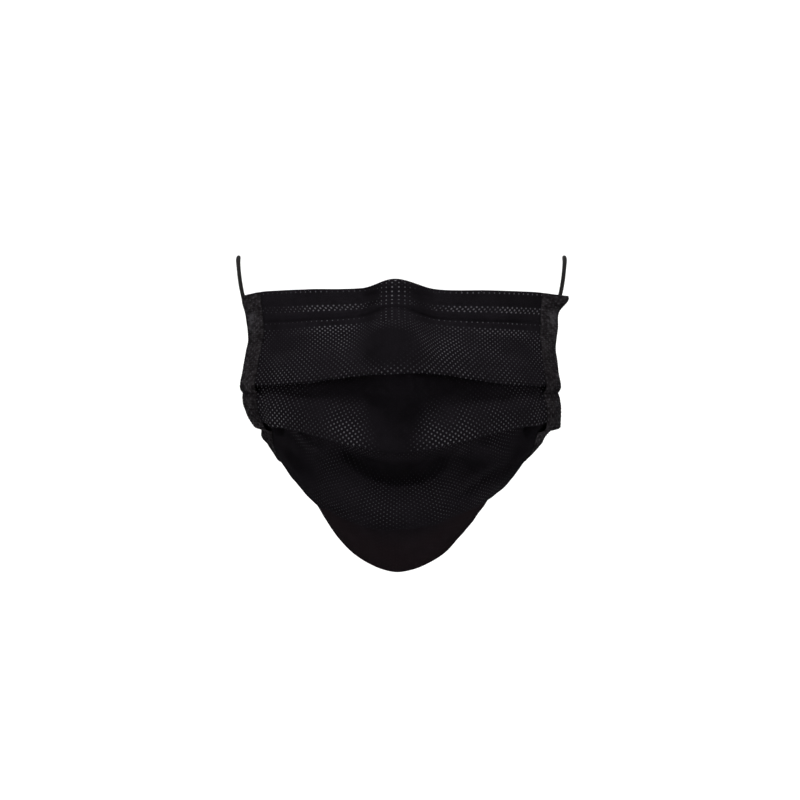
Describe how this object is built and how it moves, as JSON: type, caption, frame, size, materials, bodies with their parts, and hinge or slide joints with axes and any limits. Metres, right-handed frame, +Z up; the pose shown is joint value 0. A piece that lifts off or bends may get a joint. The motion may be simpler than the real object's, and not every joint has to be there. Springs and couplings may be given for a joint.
{
  "type": "disposable face mask",
  "caption": "Black pleated disposable face mask in its worn form, with a shaped nose wire, ribbed side bindings and elastic ear loops.",
  "frame": {"origin": "inner face of the top edge on the centre line, where the mask sits on the nose bridge", "axes": "+X to the wearer's left, which is the viewer's right, +Y into the hollow towards the face, -Y out of the front, +Z up"},
  "size_m": [0.147, 0.1273, 0.1372],
  "materials": {
    "cloth": "matte bonded non-woven with an embossed diamond lattice of dots",
    "binding": "ribbed bonded binding strip with a slight sheen",
    "elastic": "knitted round elastic, matte",
    "wire": "plastic-covered flat wire"
  },
  "bodies": {
    "root": {"mask_body": "cloth", "nose_wire": "wire", "side_band_left": "binding", "side_band_right": "binding", "ear_loop_left": "elastic", "ear_loop_right": "elastic"}
  },
  "joints": []
}
